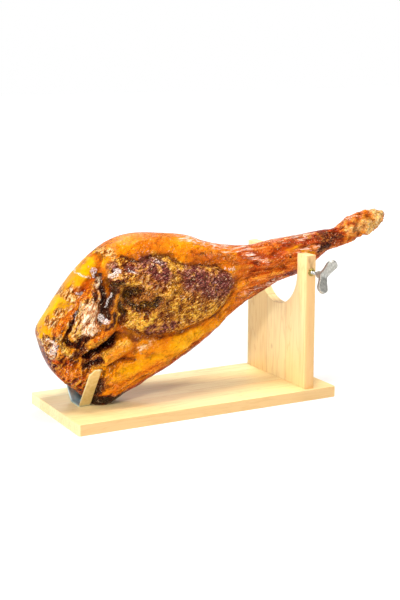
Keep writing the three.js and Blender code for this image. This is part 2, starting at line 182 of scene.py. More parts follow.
# Noise on the relief, in millimetres, and how high each kind stands
FRACTAL_FALL, FRACTAL_RATIO = 0.8, 2.0
FINE_GAIN = 1.35
FINE_WANDER = {"height": 3, "wave": 14, "seeds": (5, 71)}
FOLD_TURN = np.array([[0.5, 0, -0.87], [0, 1, 0], [0.87, 0, 0.5]])
RIDGE_SHARPNESS = 3.2
RIDGES = {
    "folds": {"size": 12, "octaves": 3, "seed": 3, "stretch": (0.28, 0.6, 1)},
    "fibres": {"size": 9, "octaves": 3, "seed": 19, "stretch": (0.14, 1, 1)},
    "crumple": {"size": 13, "octaves": 4, "seed": 29},
}
SWELLS = {
    "lumps": {"size": 26, "octaves": 3, "seed": 23},
    "sags": {"size": 20, "octaves": 3, "seed": 47, "stretch": (0.4, 1, 1)},
}
NOISE_HEIGHT = {"folds": 2.3, "crumple": 0.8, "fibres": 0.8, "sags": 1.0, "lumps": 1.1, "stump": 1.1}
LUMPS_AT_BACK = 0.35
CALM_BY_SCREW = 15
BUTT_RELIEF = (-196, -140)
SHANK_RELIEF = (57, 103)

# Colour zones of the front face: a strength, a width and a path of x z points, or the name of the
# fine relief's stroke that has the same path
LEAN_OUTLINE = [
    (-165, 259), (-157, 274), (-139, 280), (-113, 272), (-86, 278), (-54, 277), (-37, 261), (1, 257),
    (36, 250), (65, 225), (57, 199), (36, 178), (0, 158), (-42, 144), (-84, 142), (-116, 147), (-137, 156),
    (-151, 167), (-163, 181), (-155, 202), (-153, 221), (-163, 241),
]
ZONES = {
    "yellow": [
        (1.0, 12, (-268, 152), (-260, 172), (-247, 194)),
        (1.0, 19, (-245, 198), (-223, 227), (-193, 260), (-174, 283)),
        # The lower band's yellow is the fat's own colour and partly a painted highlight
        (0.45, 9, (-150, 86), (-118, 96)),
        (0.38, 24, (-146, 76), (-100, 98), (-40, 120), (10, 142)),
        (0.35, 9, (-88, 116), (-48, 128)),
        (0.6, 8, (170, 267), (190, 271)),
        (0.6, 6, (203, 259), (226, 260)),
        (0.3, 12, (290, 276), (310, 284), (328, 290)),
        (0.25, 10, (300, 296), (332, 306), (355, 318)),
        (0.2, 12, (338, 315), (369, 321)),
    ],
    "speckle": [
        (1.0, 9, (-226, 214), (-217, 221), (-209, 228)),
        (1.0, 14, (-207, 206), (-220, 189), (-228, 170), (-221, 149)),
        (0.9, 7, "low_crest"),
        (0.95, 10, (-266, 143), (-258, 118)),
        (0.7, 7, (-242, 190), (-257, 166)),
        (0.8, 6, (-204, 152), (-213, 139)),
        (0.7, 10, (-153, 284), (-163, 285)),
        (0.3, 9, "flap_crest"),
        (0.3, 12, (72, 249), (48, 263), (21, 275)),
    ],
    "red": [
        (1.0, 9, (-194, 140), (-180, 154), (-155, 157)),
        (1.0, 7, (-139, 163), (-126, 170), (-114, 173)),
        (0.8, 24, (-251, 104), (-230, 80), (-210, 58)),
        (0.95, 10, (-170, 30), (-123, 46), (-86, 61), (-61, 75), (-15, 100), (31, 125), (70, 148)),
        (0.9, 9, (34, 131), (74, 157), (120, 188), (163, 211)),
        (0.7, 9, (-181, 263), (-200, 237), (-213, 225)),
        (1.0, 10, (107, 246), (139, 259), (165, 270), (188, 278), (219, 282), (243, 285)),
        (0.8, 12, (86, 264), (113, 258), (136, 255)),
        (0.4, 30, (72, 245), (129, 251), (191, 270), (243, 281)),
        (1.2, 20, (246, 284), (263, 282), (280, 284)),
        (0.6, 8, (308, 311), (316, 306)),
        (0.5, 6, (317, 301), (324, 288)),
        (0.45, 11, (-178, 66), (-158, 64)),
        (0.35, 5, (-116, 143), (-84, 136), (-42, 137), (0, 147), (38, 161), (68, 200)),
        (0.45, 22, (-6, 268), (45, 260), (75, 249)),
    ],
    "purple": [
        (1.0, 24, (-96, 265), (-72, 256), (-55, 244)),
        (0.9, 16, (-86, 248), (-62, 236)),
        (1.0, 30, (-20, 236), (7, 221), (45, 217)),
        (0.45, 20, (-110, 235), (-85, 225)),
        (0.6, 14, (-24, 218), (3, 205)),
        (1.0, 15, (-157, 259), (-153, 245)),
        (0.9, 12, (-103, 154), (-85, 154), (-57, 156)),
        (0.8, 12, (-132, 257), (-110, 259)),
        (0.5, 6, (-237, 195), (-230, 204)),
        (0.6, 6, (-196, 231), (-219, 208), (-235, 183), (-246, 166)),
        (0.6, 7, (-263, 119), (-257, 102), (-248, 84)),
        (0.5, 8, (-151, 155), (-137, 146), (-121, 137)),
        (0.7, 7, (169, 219), (191, 227)),
        (0.3, 6, (318, 299), (325, 288)),
        (0.6, 7, (75, 186), (120, 202), (155, 213)),
    ],
    "ochre": [
        (0.9, 5, "vein_1"),
        (0.9, 5, "vein_2"),
        (0.9, 5, "plateau_edge"),
        (0.8, 10, (-79, 277), (-56, 272), (-40, 260)),
        (0.6, 20, (-70, 190), (-24, 175), (21, 176)),
        (0.6, 9, (-58, 262), (-48, 238), (-52, 215)),
        (0.5, 8, "flap_crest"),
        (0.7, 10, (-246, 140), (-240, 128)),
        (0.7, 5, (-163, 253), (-167, 241)),
        (0.7, 14, (-60, 228), (-55, 212)),
    ],
    # Dark: painted shade in the lean's hollows, in the creases and crevices, along the fat's edges and under
    # the ham where it meets the board, partly the meat's own dark; and the dark of the bone, its knob and the
    # ankle
    "dark_and_shade": [
        (1.0, 9, "hollow_1"),
        (1.0, 12, "hollow_2"),
        (0.95, 10, "hollow_3"),
        (0.9, 9, "hollow_4"),
        (0.9, 9, "hollow_5"),
        (0.95, 7, (-183, 251), (-179, 226), (-180, 198), (-191, 177)),
        (1.0, 8, (-160, 226), (-171, 203), (-178, 186)),
        (0.6, 7, (-183, 170)),
        (0.9, 9, (-211, 110), (-190, 124), (-168, 138), (-159, 151)),
        (0.8, 8, (-211, 97), (-184, 108)),
        (0.65, 3, "lobe_edge"),
        (0.5, 2.5, "fold_shadow"),
        (0.7, 8, "low_crease"),
        (0.7, 9, (-223, 119), (-211, 130)),
        (1.8, 13, (-191, 29), (-176, 30), (-153, 31), (-140, 35)),
        (0.4, 6, (-185, 60), (-170, 62)),
        (0.55, 26, (-135, 212), (-105, 200), (-88, 198)),
        (0.5, 14, (251, 283), (264, 282), (282, 284)),
        (0.85, 9, (-189, 45), (-181, 68)),
        (0.9, 6, (-165, 185), (-166, 169), (-178, 163)),
        (0.8, 12, (241, 264), (259, 268)),
        (0.45, 3.5, (-168, 281), (-185, 258)),
        (0.3, 3, (-116, 145), (-84, 137), (-42, 139), (0, 150), (38, 165), (65, 200)),
        (0.35, 2.5, (-13, 278), (15, 266), (22, 256)),
        (0.45, 2.5, "flap_shadow"),
        (0.3, 2.5, (-139, 281), (-113, 272), (-86, 279)),
        (0.8, 3, (177, 256)),
        (0.6, 5, (-187, 230), (-193, 214), (-196, 200)),
    ],
    # Pale: the cream fat of the butt's lobe and of the stump's cut end; the narrow stroke along the fat
    # streak is a painted highlight
    "pale": [
        (1.0, 16, (-199, 196), (-205, 180), (-203, 166)),
        (0.5, 4, (-181, 243), (-184, 226), (-188, 210)),
        (0.4, 8, (-117, 119), (-102, 125), (-94, 134)),
        (0.95, 12, (347, 292), (364, 305), (377, 319)),
        (0.8, 10, (360, 323), (377, 317)),
        (0.4, 14, (302, 293), (330, 300), (350, 306)),
        (0.5, 6, (-264, 138), (-257, 120)),
        (0.6, 4, (-222, 208), (-234, 192)),
    ],
    "amber": [
        (0.9, 6, (-188, 245), (-206, 219), (-221, 200), (-241, 176), (-254, 155)),
        (0.8, 6, (-192, 144), (-180, 157), (-152, 158)),
        (0.8, 10, (-240, 90), (-230, 79), (-220, 95)),
        (0.7, 7, (-174, 278), (-175, 269), (-178, 258)),
        # Orange on the lower band, partly a painted highlight
        (0.6, 9, (-160, 60), (-120, 78), (-80, 98)),
    ],
    # Painted highlight streaks along the top edge and on the shank
    "highlight_streak": [
        (1.0, 8, (-25, 304), (19, 291), (56, 278), (102, 272)),
        (0.7, 6, (45, 282), (67, 275), (103, 273)),
        (0.9, 6, (90, 264), (115, 256), (129, 253)),
        (0.6, 5, (151, 281), (192, 286), (236, 291)),
        (0.7, 5, (144, 207), (167, 210)),
        (1.0, 4, (193, 263), (222, 265), (237, 269)),
        (0.6, 3.5, (78, 194), (121, 205), (163, 215)),
        (0.7, 4, (309, 311), (327, 317)),
    ],
    "glint": [
        (1.0, 8, (-162, 249), (-148, 255)),
        (0.8, 7, (-131, 255), (-126, 253)),
        (0.7, 7, (-82, 270), (-71, 261)),
        (0.5, 9, (16, 226), (37, 222)),
        (0.6, 2.5, (-178, 243), (-178, 227), (-182, 210)),
        (1.3, 7, (-186, 182), (-179, 177)),
        (1.1, 3, (-165, 222), (-175, 200)),
        (1.2, 3.5, (-190, 254), (-185, 263)),
        (1.1, 3, (-203, 250), (-196, 251)),
        (1.0, 3, (-218, 224), (-210, 230)),
        (0.9, 6, (-262, 137), (-257, 127)),
        (0.6, 6, (-229, 175), (-222, 190)),
        (0.7, 7, (47, 247), (65, 240)),
    ],
}

# How zones and relief wander, blend and fade, in millimetres; END_WANDER counts x towards the butt
FADE_TO_BACK = {"from": -0.95, "to": -0.4}
RELIEF_FADE = {"from": 0.02, "to": 0.35}
BORDER = {"from": 0.1, "to": 1.3}
ZONE_WANDER = {"height": 4.5, "wave": 16, "seeds": (11, 37)}
END_WANDER = {"height": 6, "more": 20, "wave": 38, "seed": 59, "y": (-26, 6), "x": (222, 262)}
LEAN_BORDER = {"lean": 3, "halo": 22}
BUTT_COLOR = (-190, -150)
SHANK_COLOR = (48, 111)
CREST_HEIGHT = 1.6
HAM_REGIONS = ("lean", "halo", "shank", "front", "crest", "butt")

# Ham's skin: plain settings, then its patterns in millimetres, each with a direction or a stretch
HAM_SHADER = {
    "Subsurface Weight": 0.05,
    "Subsurface Radius": (1.0, 0.3, 0.05),
    "Subsurface Scale": 3 * MM,
    "Specular IOR Level": 0.2,
    "Specular Tint": (1.0, 0.6, 0.25, 1),
}
HAM_GAMMA = 1.22
PATTERNS = {
    "clouds": {"size": 60, "rough": 0.55},
    "blotches": {"size": 16, "detail": 5, "rough": 0.62, "distortion": 0.4},
    "lean_grain": {"size": 2.8, "detail": 4, "rough": 0.7, "flow": (26, 0.5)},
    "butt_grain": {"size": 3.4, "detail": 4, "rough": 0.7, "flow": (60, 0.4)},
    "grit": {"size": 1.7, "rough": 0.6},
    "fibres": {"size": 6, "detail": 5, "rough": 0.7, "stretch": (0.1, 1, 1)},
    "threads": {"size": 2.3, "detail": 2, "stretch": (0.07, 1, 1)},
    "drips": {"size": 11, "detail": 4, "rough": 0.6, "distortion": 0.6, "flow": (24, 0.3)},
    "flecks": {"size": 2.6, "rough": 0.6, "flow": (45, 0.6)},
}
LINES = {
    "wrinkles": {"size": 9, "width": 0.03, "distortion": 0.7, "flow": (26, 0.5)},
    "creases": {"size": 17, "width": 0.032, "distortion": 0.9, "flow": (34, 0.4)},
    "veins": {"size": 7, "width": 0.03, "distortion": 1.2, "flow": (20, 0.8)},
}
# The crests' height lifts the tone, so crests are painted lighter and hollows darker, a painted light and
# shade; the wrinkle lines lift it a little too
TONE = {"crest": 0.05, "wrinkles": 0.03}

# Colours that follow a pattern
PAINTS = {
    "fat": ("clouds", (0.36, "DA7A00"), (0.5, "EC9200"), (0.64, "F6A408")),
    "rind": ("blotches", (0.3, "8E4204"), (0.5, "B8640A"), (0.7, "D08A1C")),
    "sinew": (
        "fibres", (0.3, "A02E06"), (0.42, "CC5A12"), (0.54, "E28030"), (0.66, "F0A058"), (0.78, "FCDCB4"),
    ),
    "wax": ("clouds", (0.36, "FAB000"), (0.5, "FFC400"), (0.64, "FFD224")),
    "dusty": (
        "tone", (0.39, "500E06"), (0.46, "9A3E14"), (0.51, "D08A38"), (0.57, "F0CC88"), (0.64, "FFF2D4"),
    ),
    "crimson": ("drips", (0.34, "701204"), (0.5, "A83008"), (0.68, "CC6010")),
    "mould": (
        "tone", (0.37, "4A1A06"), (0.45, "84400E"), (0.51, "B06C1C"), (0.57, "D89C32"), (0.65, "F6D488"),
    ),
    "plum": (
        "tone", (0.36, "280A18"), (0.45, "521A2C"), (0.54, "7C3442"), (0.61, "AC6460"), (0.69, "F0CCC0"),
    ),
    "crust": ("tone", (0.38, "7A4408"), (0.48, "B87C1C"), (0.6, "E0B044"), (0.72, "F6DC90")),
    # Painted shade in the relief's hollows and along its creases
    "sunk": ("butt", (0, "5E2206"), (1, "3A1010")),
    "crease": ("butt", (0, "7C3006"), (1, "481410")),
    "brown": ("tone", (0.38, "2A080A"), (0.48, "581C12"), (0.55, "88401A"), (0.64, "CC8C44")),
    "cream": ("tone", (0.38, "94401C"), (0.46, "D08C58"), (0.54, "F0CA9C"), (0.64, "FEF4E2")),
    "amber": ("specks", (0.36, "A04204"), (0.48, "D87408"), (0.6, "F29A18"), (0.7, "FFD078")),
    "grain": ("grit", (0.34, "4C4440"), (0.5, "BCBCBC"), (0.66, "FFFFFF")),
}
DRIP_DARK, DRIP_LIGHT, STAIN = "B45404", "F4AC1C", "A45008"
# The deepest colour is painted shade in the deepest hollows and the dark of the bone; the crest colour is a
# painted highlight
DEEPEST_DARK_AND_SHADE, CREST_HIGHLIGHT, VEIN = "26080A", "F8C04C", "E0A438"
BONE_YELLOW, HIGHLIGHT_STREAK_EDGE, HIGHLIGHT_STREAK_CORE = "F4CC78", "E8945C", "FFF4EE"
PIT, SPARKLE, GLINT = "3A1206", "FFE6C4", "FBEFEA"

# Layers: zone, the pattern that tears its border, low and high end of the border, reach of the tearing, share
LAYERS = {
    "dusty": ("speckle", "blotches", 0.15, 0.6, 0.7, 0.9),
    "crimson": ("red", "drips", 0.05, 0.8, 0.7, 0.85),
    "mould": ("lean", "specks", 0.35, 0.65, 0.6, 1),
    "crust": ("ochre", "blotches", 0.1, 0.8, 0.7, 1),
    "brown": ("dark_and_shade", "blotches", 0.05, 0.6, 0.8, 1),
    "deepest": ("dark_and_shade", "specks", 0.5, 1.0, 0.6, 0.9),
    "cream": ("pale", "blotches", 0.1, 0.7, 0.9, 1),
    "amber": ("amber", "drips", 0.1, 0.7, 0.7, 0.85),
    "glint": ("glint", "specks", 0.6, 0.8, 2.0, 0.9),
}
# Spans: a zone or pattern, its low and high end, and the results there
SPANS = {
    "dark drips": ("drips", 0.52, 0.72, 0, 0.5),
    "light drips": ("drips", 0.46, 0.3, 0, 0.5),
    "stains": ("blotches", 0.38, 0.6, 0.05, 0.5),
    "lean unevenness": ("lean", 0, 1, 0.5, 0.8),
    "beside wax": ("yellow", 0.1, 0.6, 1, 0),
    # Where the relief's painted shade and painted highlight go
    "sunk": ("crest", -0.1, -1.0, 0, 0.95),
    "raised": ("crest", 0.15, 0.9, 0, 0.6),
    "veins in the dark": ("dark_and_shade", 0.1, 0.8, 0.12, 0.75),
    "thread edges": ("threads", 0.42, 0.5, 0, 1),
    "thread cores": ("threads", 0.53, 0.6, 0, 0.9),
    "pits": ("flecks", 0.4, 0.33, 0, 1),
    "pits beside wax": ("yellow", 0.1, 0.6, 0.6, 0),
    "sparkles": ("flecks", 0.6, 0.66, 0, 1),
    "sparkling blotches": ("blotches", 0.4, 0.58, 0, 1),
    "glint grit": ("grit", 0.42, 0.56, 0, 1),
    "fat roughness": ("blotches", 0.35, 0.7, 0.12, 0.3),
    "lean roughness": ("specks", 0.4, 0.62, 0.22, 0.5),
}
WAX_TEAR = 0.8
WAX_SPAN = (0.5, 1.15, 0, 0.95)
PLUM_TEAR = {"specks": 1.1, "blotches": 0.7}
PLUM_SPAN = (1.0, 1.75, 0, 0.95)
# The share of the creases is that of their painted shade
SHARES = {
    "sinew": 0.9, "shank unevenness": 0.6, "butt unevenness": 0.85, "creases": 0.8, "yellow bone": 0.55,
    "grain": 0.8, "sparkles": 0.85, "lean roughness": 0.75,
}
# Bumps from the coarsest to the finest: pattern, height in millimetres, strength
HAM_BUMPS = (
    ("fibres", 2.2, 1.0), ("wrinkles", 0.8, 0.8), ("creases", -1.2, 0.8), ("specks", 2.6, 1.0),
    ("grit", 0.8, 0.7),
)

# Pine: colours, knots as place, radius and depth, and staves as grain axis, width and offset
# The end colour is a painted shade on the upright's near narrow face
PINE = {
    "dull": "F8DA9C", "bright": "FCE8B2", "late": "DDAF6C", "line": "E2B878", "glue": "C08E50",
    "knot": "9A6430", "end": "D4A262",
}
PINE_SHARES = {"late": 0.34, "line": 0.42, "glue": 0.6, "end": 0.75}
PINE_SLOWNESS = {"lines": 0.035, "figure": 0.11}
PINE_BANDS = 9.0
STAVES = {"pine_board": (0, 44, 22), "pine_upright": (2, 66, 35)}
KNOTS = (((189.2, 13.2, 74.5), 2.2, 0.3), ((194.0, -102.5, 252.9), 2.0, 0.85))
KNOT_SPAN = (0.4, 2.2)
# Where the near arm's painted warm reflection begins and ends, in millimetres of y
WARM_REFLECTION_FROM, WARM_REFLECTION_TO = -12, -20

# Studio, in metres: each light's place, size, power and colour
FLOOR = {"half": 12, "glow": (0.6, 2.4, 0.55, 0.9), "haze": 900}
SKY = {"From Min": 0.04, "From Max": 0.24, "To Min": 1.0, "To Max": 0.24}
LIGHT_AIM = (0.05, 0, 0.15)
WHITE = (1, 1, 1)
LIGHTS = {
    "key": ((-1.5, -1.7, 1.5), 0.4, 37, WHITE),
    "side": ((-2.0, -0.6, 0.9), 1.0, 15, WHITE),
    "overhead": ((0.1, -0.2, 2.1), 0.7, 41, (1.0, 0.95, 0.87)),
    "fill": ((1.4, -1.9, 0.7), 0.7, 6, WHITE),
    "rear": ((0.6, 1.8, 1.4), 0.8, 9, WHITE),
}


# Small maths
def smoothstep(value, low, high):
    share = np.clip((value - low) / (high - low), 0, 1)
    return share * share * (3 - 2 * share)


def spline(rows, along):
    """Points of a Catmull-Rom curve through the rows."""
    rows = np.asarray(rows, float)
    last = len(rows) - 1
    place = np.clip(along, 0, 1) * last
    index = np.minimum(place.astype(int), last - 1)
    part = (place - index)[..., None]
    before, here = rows[np.maximum(index - 1, 0)], rows[index]
    there, after = rows[index + 1], rows[np.minimum(index + 2, last)]
    cubic = (3 * here - before - 3 * there + after) * part**3
    square = (2 * before - 5 * here + 4 * there - after) * part**2
    return 0.5 * (2 * here + (there - before) * part + square + cubic)


def distance_to_path(x, z, path):
    if len(path) == 1:
        return np.hypot(x - path[0][0], z - path[0][1])
    nearest = np.full(x.shape, np.inf)
    for (ax, az), (bx, bz) in zip(path, path[1:]):
        dx, dz = bx - ax, bz - az
        share = np.clip(((x - ax) * dx + (z - az) * dz) / (dx * dx + dz * dz), 0, 1)
        nearest = np.minimum(nearest, np.hypot(x - ax - share * dx, z - az - share * dz))
    return nearest


def is_inside(x, z, outline):
    inside = np.zeros(x.shape, bool)
    for (ax, az), (bx, bz) in zip(outline, outline[1:] + outline[:1]):
        crosses = (az > z) != (bz > z)
        with np.errstate(divide="ignore", invalid="ignore"):
            at = (bx - ax) * (z - az) / (bz - az) + ax
        inside ^= crosses & (x < at)
    return inside


def area(x, z, outline, soft):
    distance = distance_to_path(x, z, outline + outline[:1])
    return smoothstep(np.where(is_inside(x, z, outline), distance, -distance), -soft, soft)


def relief(x, z, strokes):
    total = np.zeros(x.shape)
    for height, width, *path in strokes.values():
        total += height * np.exp(-((distance_to_path(x, z, path) / width) ** 2))
    return total


def painted(x, z, strokes):
    value = np.zeros(x.shape)
    for strength, width, *path in strokes:
        if path[0] in FINE_RELIEF:
            path = FINE_RELIEF[path[0]][2:]
        reach = distance_to_path(x, z, path) / width
        value = np.maximum(value, strength * (1 - smoothstep(reach, BORDER["from"], BORDER["to"])))
    return value


def cloud(points, size, octaves=3, seed=0.0, stretch=(1, 1, 1)):
    """Fractal noise of about -1 to 1 at each point; size is its coarsest wave in millimetres."""
    scaled = points.reshape(-1, 3) * np.asarray(stretch, float) / size + seed
    values = [noise.fractal(Vector(p), FRACTAL_FALL, FRACTAL_RATIO, octaves) for p in scaled]
    return np.array(values).reshape(points.shape[:-1])


# Ham
def ham_form(along, angle):
    """The plain form; the angle runs from the top over the front to the bottom and back."""
    row = spline(HAM_STATIONS, along)
    top, bottom = row[..., 0:2], row[..., 2:4]
    cosine, sine = np.cos(angle), np.sin(angle)
    is_front = sine >= 0
    roundness = np.where(is_front, HAM_ROUNDNESS["front"], HAM_ROUNDNESS["back"])
    up = np.sign(cosine) * np.abs(cosine) ** (2 / roundness)
    out = np.sign(sine) * np.abs(sine) ** (2 / roundness)
    flat = (top + bottom) / 2 + (top - bottom) / 2 * up[..., None]
    half = np.maximum(np.where(is_front, row[..., 4], row[..., 5]), 0)
    middle = HAM_PLANE["y"] + HAM_PLANE["slope"] * (flat[..., 0] - HAM_PLANE["x"])
    return np.stack([flat[..., 0], middle - half * out, flat[..., 1]], -1)


def ham_normals(along, angle):
    step_along, step_around = HAM_NORMAL_STEP["along"], HAM_NORMAL_STEP["around"]
    place = np.clip(along, step_along, 1 - step_along)
    lengthwise = ham_form(place + step_along, angle) - ham_form(place - step_along, angle)
    around = ham_form(place, angle + step_around) - ham_form(place, angle - step_around)
    normal = np.cross(around, lengthwise)
    return normal / np.linalg.norm(normal, axis=-1, keepdims=True)


def ham_grid():
    share = np.arange(1, HAM_RINGS) / HAM_RINGS
    along = share * (HAM_RING_SPREAD + (1 - HAM_RING_SPREAD) * share)
    front = np.pi * np.arange(HAM_STEPS["front"]) / HAM_STEPS["front"]
    back = np.pi + np.pi * np.arange(HAM_STEPS["back"]) / HAM_STEPS["back"]
    return np.meshgrid(along, np.concatenate([front, back]), indexing="ij")


def wandered(x, z, points, height, wave, seeds):
    """The x z places, each moved by a noise of about the given height."""
    return x + height * cloud(points, wave, 3, seeds[0]), z + height * cloud(points, wave, 3, seeds[1])


def end_wander(x, points):
    """How far the zones move up and down at the butt's end, most towards its back."""
    height = END_WANDER["height"] + END_WANDER["more"] * smoothstep(points[..., 1], *END_WANDER["y"])
    noise_there = cloud(points, END_WANDER["wave"], 3, END_WANDER["seed"])
    return height * smoothstep(-x, *END_WANDER["x"]) * noise_there


def zone_values(x, z, points):
    """Strength of each colour zone, with wandering borders."""
    end = end_wander(x, points)
    x, z = wandered(x, z, points, **ZONE_WANDER)
    z = z + end
    values = {name: painted(x, z, strokes) for name, strokes in ZONES.items()}
    for name, soft in LEAN_BORDER.items():
        values[name] = area(x, z, LEAN_OUTLINE, soft)
    values["shank"] = smoothstep(x, *SHANK_COLOR)
    return values


def ridged(points, size, octaves=3, seed=0.0, stretch=(1, 1, 1)):
    """Noise of about -1 to 1 with narrow crests."""
    return 1 - RIDGE_SHARPNESS * np.abs(cloud(points, size, octaves, seed, stretch))


def high_pass(height, rings=7, steps=4):
    """Height above the mean of its neighbourhood."""
    mean = height.copy()
    for axis, reach in ((0, rings), (1, steps)):
        mean = sum(np.roll(mean, shift, axis) for shift in range(-reach, reach + 1)) / (2 * reach + 1)
    return height - mean


def stump_relief(x, angle, crumple):
    wild = smoothstep(x, STUMP["from"], STUMP["to"])
    wave = np.sin(STUMP["along"] * x) * np.cos(STUMP["around"] * angle + STUMP["twist"] * x)
    return wild * (STUMP["depth"] * wave + NOISE_HEIGHT["stump"] * crumple)


def ham_relief(points, angle, lean):
    x, z = points[..., 0], points[..., 2]
    front = smoothstep(np.sin(angle), RELIEF_FADE["from"], RELIEF_FADE["to"])
    screw_distance = np.hypot(x - UPRIGHT["middle"], z - SCREW["z"])
    calm = 1 - np.exp(-((screw_distance / CALM_BY_SCREW) ** 2))
    butt = 1 - smoothstep(x, *BUTT_RELIEF)
    shank = smoothstep(x, *SHANK_RELIEF)
    fine = FINE_GAIN * relief(*wandered(x, z, points, **FINE_WANDER), FINE_RELIEF)
    noises = {name: cloud(points, **values) for name, values in SWELLS.items()}
    for name, values in RIDGES.items():
        noises[name] = ridged(points @ FOLD_TURN if name == "folds" else points, **values)
    regions = {"folds": butt, "crumple": lean, "fibres": shank, "sags": (1 - butt) * (1 - shank) * (1 - lean)}
    uneven = sum(NOISE_HEIGHT[name] * region * noises[name] for name, region in regions.items())
    lumps = (LUMPS_AT_BACK + (1 - LUMPS_AT_BACK) * front) * NOISE_HEIGHT["lumps"] * noises["lumps"]
    total = front * (relief(x, z, MAIN_RELIEF) + calm * fine) + calm * (front * uneven + lumps)
    return total + stump_relief(x, angle, noises["crumple"])


def fork_planes(z):
    """Inner faces of the fork's arms at a height."""
    lean = math.radians(FORK["lean"])
    half = FORK["half_web"] + (z - BOARD_THICKNESS) * math.tan(lean) - FORK["sheet"] / math.cos(lean)
    return FORK["y"] - half, FORK["y"] + half


def fit_to_fork(x, y, z):
    """Keeps the ham above the web and between the arms."""
    away = np.abs(x - FORK["x"]) - FORK["width"] / 2
    held = 1 - smoothstep(away, HELD_BY_FORK["from"], HELD_BY_FORK["to"])
    web_top = BOARD_THICKNESS + FORK["sheet"] + 2 * GAP
    z = np.maximum(z, BOARD_THICKNESS + held * (web_top - BOARD_THICKNESS))
    near, far = fork_planes(z)
    squeezed = np.clip(y, near + 2 * GAP, far - 2 * GAP)
    low = z < FORK["top"] + HELD_BY_FORK["above"]
    return np.where(low, y + held * (squeezed - y), y), z


def fit_to_notch(x, y, z):
    """Keeps the shank clear of the notch's walls."""
    inside = np.abs(x - UPRIGHT["middle"]) < UPRIGHT["thickness"] / 2 + NOTCH_MARGIN
    side, below = y - NOTCH["y"], np.minimum(z - NOTCH["z"], 0)
    share = np.minimum((NOTCH["radius"] - 2 * GAP) / np.maximum(np.hypot(side, below), 1), 1)
    y = np.where(inside, NOTCH["y"] + side * share, y)
    return y, np.where(inside & (below < 0), NOTCH["z"] + below * share, z)


def fit_to_stand(points):
    """Keeps the ham on the board, between the fork's arms and clear of the upright."""
    x, y, z = points[..., 0], points[..., 1], points[..., 2]
    z = np.maximum(z, BOARD_THICKNESS + GAP)
    y, z = fit_to_fork(x, y, z)
    y, z = fit_to_notch(x, y, z)
    return np.stack([x, y, z], -1)


def grid_mesh(name, points, first, last, attributes=()):
    """A closed mesh of rings between two end points, with its named point attributes."""
    rings, count = points.shape[:2]
    vertices = np.concatenate([[first], points.reshape(-1, 3), [last]])
    faces = []
    for i in range(count):
        following = (i + 1) % count
        faces.append((0, 1 + following, 1 + i))
        faces.append((len(vertices) - 1, 1 + (rings - 1) * count + i, 1 + (rings - 1) * count + following))
    for ring in range(rings - 1):
        here, there = 1 + ring * count, 1 + (ring + 1) * count
        for i in range(count):
            following = (i + 1) % count
            faces.append((here + i, here + following, there + following, there + i))
    mesh = bpy.data.meshes.new(name)
    mesh.from_pydata((vertices * MM).tolist(), [], faces)
    for key, values in dict(attributes).items():
        padded = np.concatenate([[values[0, 0]], values.ravel(), [values[-1, 0]]])
        mesh.attributes.new(key, "FLOAT", "POINT").data.foreach_set("value", padded.astype(np.float32))
    mesh.polygons.foreach_set("use_smooth", [True] * len(mesh.polygons))
    return add_object(name, mesh)


def make_ham():
    along, angle = ham_grid()
    form = ham_form(along, angle)
    zones = zone_values(form[..., 0], form[..., 2], form)
    fade = smoothstep(np.sin(angle), FADE_TO_BACK["from"], FADE_TO_BACK["to"])
    zones = {name: values * fade for name, values in zones.items()}
    zones["front"] = fade
    zones["butt"] = 1 - smoothstep(form[..., 0], *BUTT_COLOR)
    height = ham_relief(form, angle, zones["lean"])
    zones["crest"] = np.clip(high_pass(height) / CREST_HEIGHT, -1, 1)
    points = fit_to_stand(form + ham_normals(along, angle) * height[..., None])
    ends = ham_form(np.array([0.0, 1.0]), np.array([0.0, 0.0]))
    return grid_mesh("cured_ham", points, ends[0], ends[1], zones)


# Objects
def add_object(name, data):
    thing = bpy.data.objects.new(name, data)
    bpy.context.scene.collection.objects.link(thing)
    return thing


def object_from(name, mesh):
    """An object of a mesh under construction, with its faces turned outwards."""
    bmesh.ops.recalc_face_normals(mesh, faces=mesh.faces)
    data = bpy.data.meshes.new(name)
    mesh.to_mesh(data)
    mesh.free()
    return add_object(name, data)


def modify(thing, kind, **settings):
    """Adds a modifier with its settings and applies it."""
    modifier = thing.modifiers.new(kind.lower(), kind)
    for key, value in settings.items():
        setattr(modifier, key, value)
    graph = bpy.context.evaluated_depsgraph_get()
    mesh = bpy.data.meshes.new_from_object(thing.evaluated_get(graph))
    thing.modifiers.clear()
    thing.data = mesh
    return thing


def smooth_shade(thing, sharp_angle):
    thing.data.polygons.foreach_set("use_smooth", [True] * len(thing.data.polygons))
    thing.data.set_sharp_from_angle(angle=math.radians(sharp_angle))
    return thing


def lathe(name, profile, steps):
    """A turned piece about the screw's axis; profile points are radius and y, closed on itself."""
    mesh = bmesh.new()
    rings = []
    for step in range(steps):
        turn = 2 * math.pi * step / steps
        ring = []
        for radius, y in profile:
            x = UPRIGHT["middle"] + radius * math.sin(turn)
            z = SCREW["z"] + radius * math.cos(turn)
            ring.append(mesh.verts.new((x * MM, y * MM, z * MM)))
        rings.append(ring)
    for ring, following in zip(rings, rings[1:] + rings[:1]):
        for i in range(len(profile)):
            j = (i + 1) % len(profile)
            mesh.faces.new((ring[i], ring[j], following[j], following[i]))
    bmesh.ops.remove_doubles(mesh, verts=mesh.verts, dist=1e-6)
    return object_from(name, mesh)


def prism(name, outline, depth, place):
    """A plate: the outline's points become corners by place(u, v, w), with w running from 0 to depth."""
    mesh = bmesh.new()
    near = [mesh.verts.new(Vector(place(u, v, 0)) * MM) for u, v in outline]
    far = [mesh.verts.new(Vector(place(u, v, depth)) * MM) for u, v in outline]
    mesh.faces.new(near)
    mesh.faces.new(far[::-1])
    for i in range(len(outline)):
        j = (i + 1) % len(outline)
        mesh.faces.new((near[i], far[i], far[j], near[j]))
    return object_from(name, mesh)


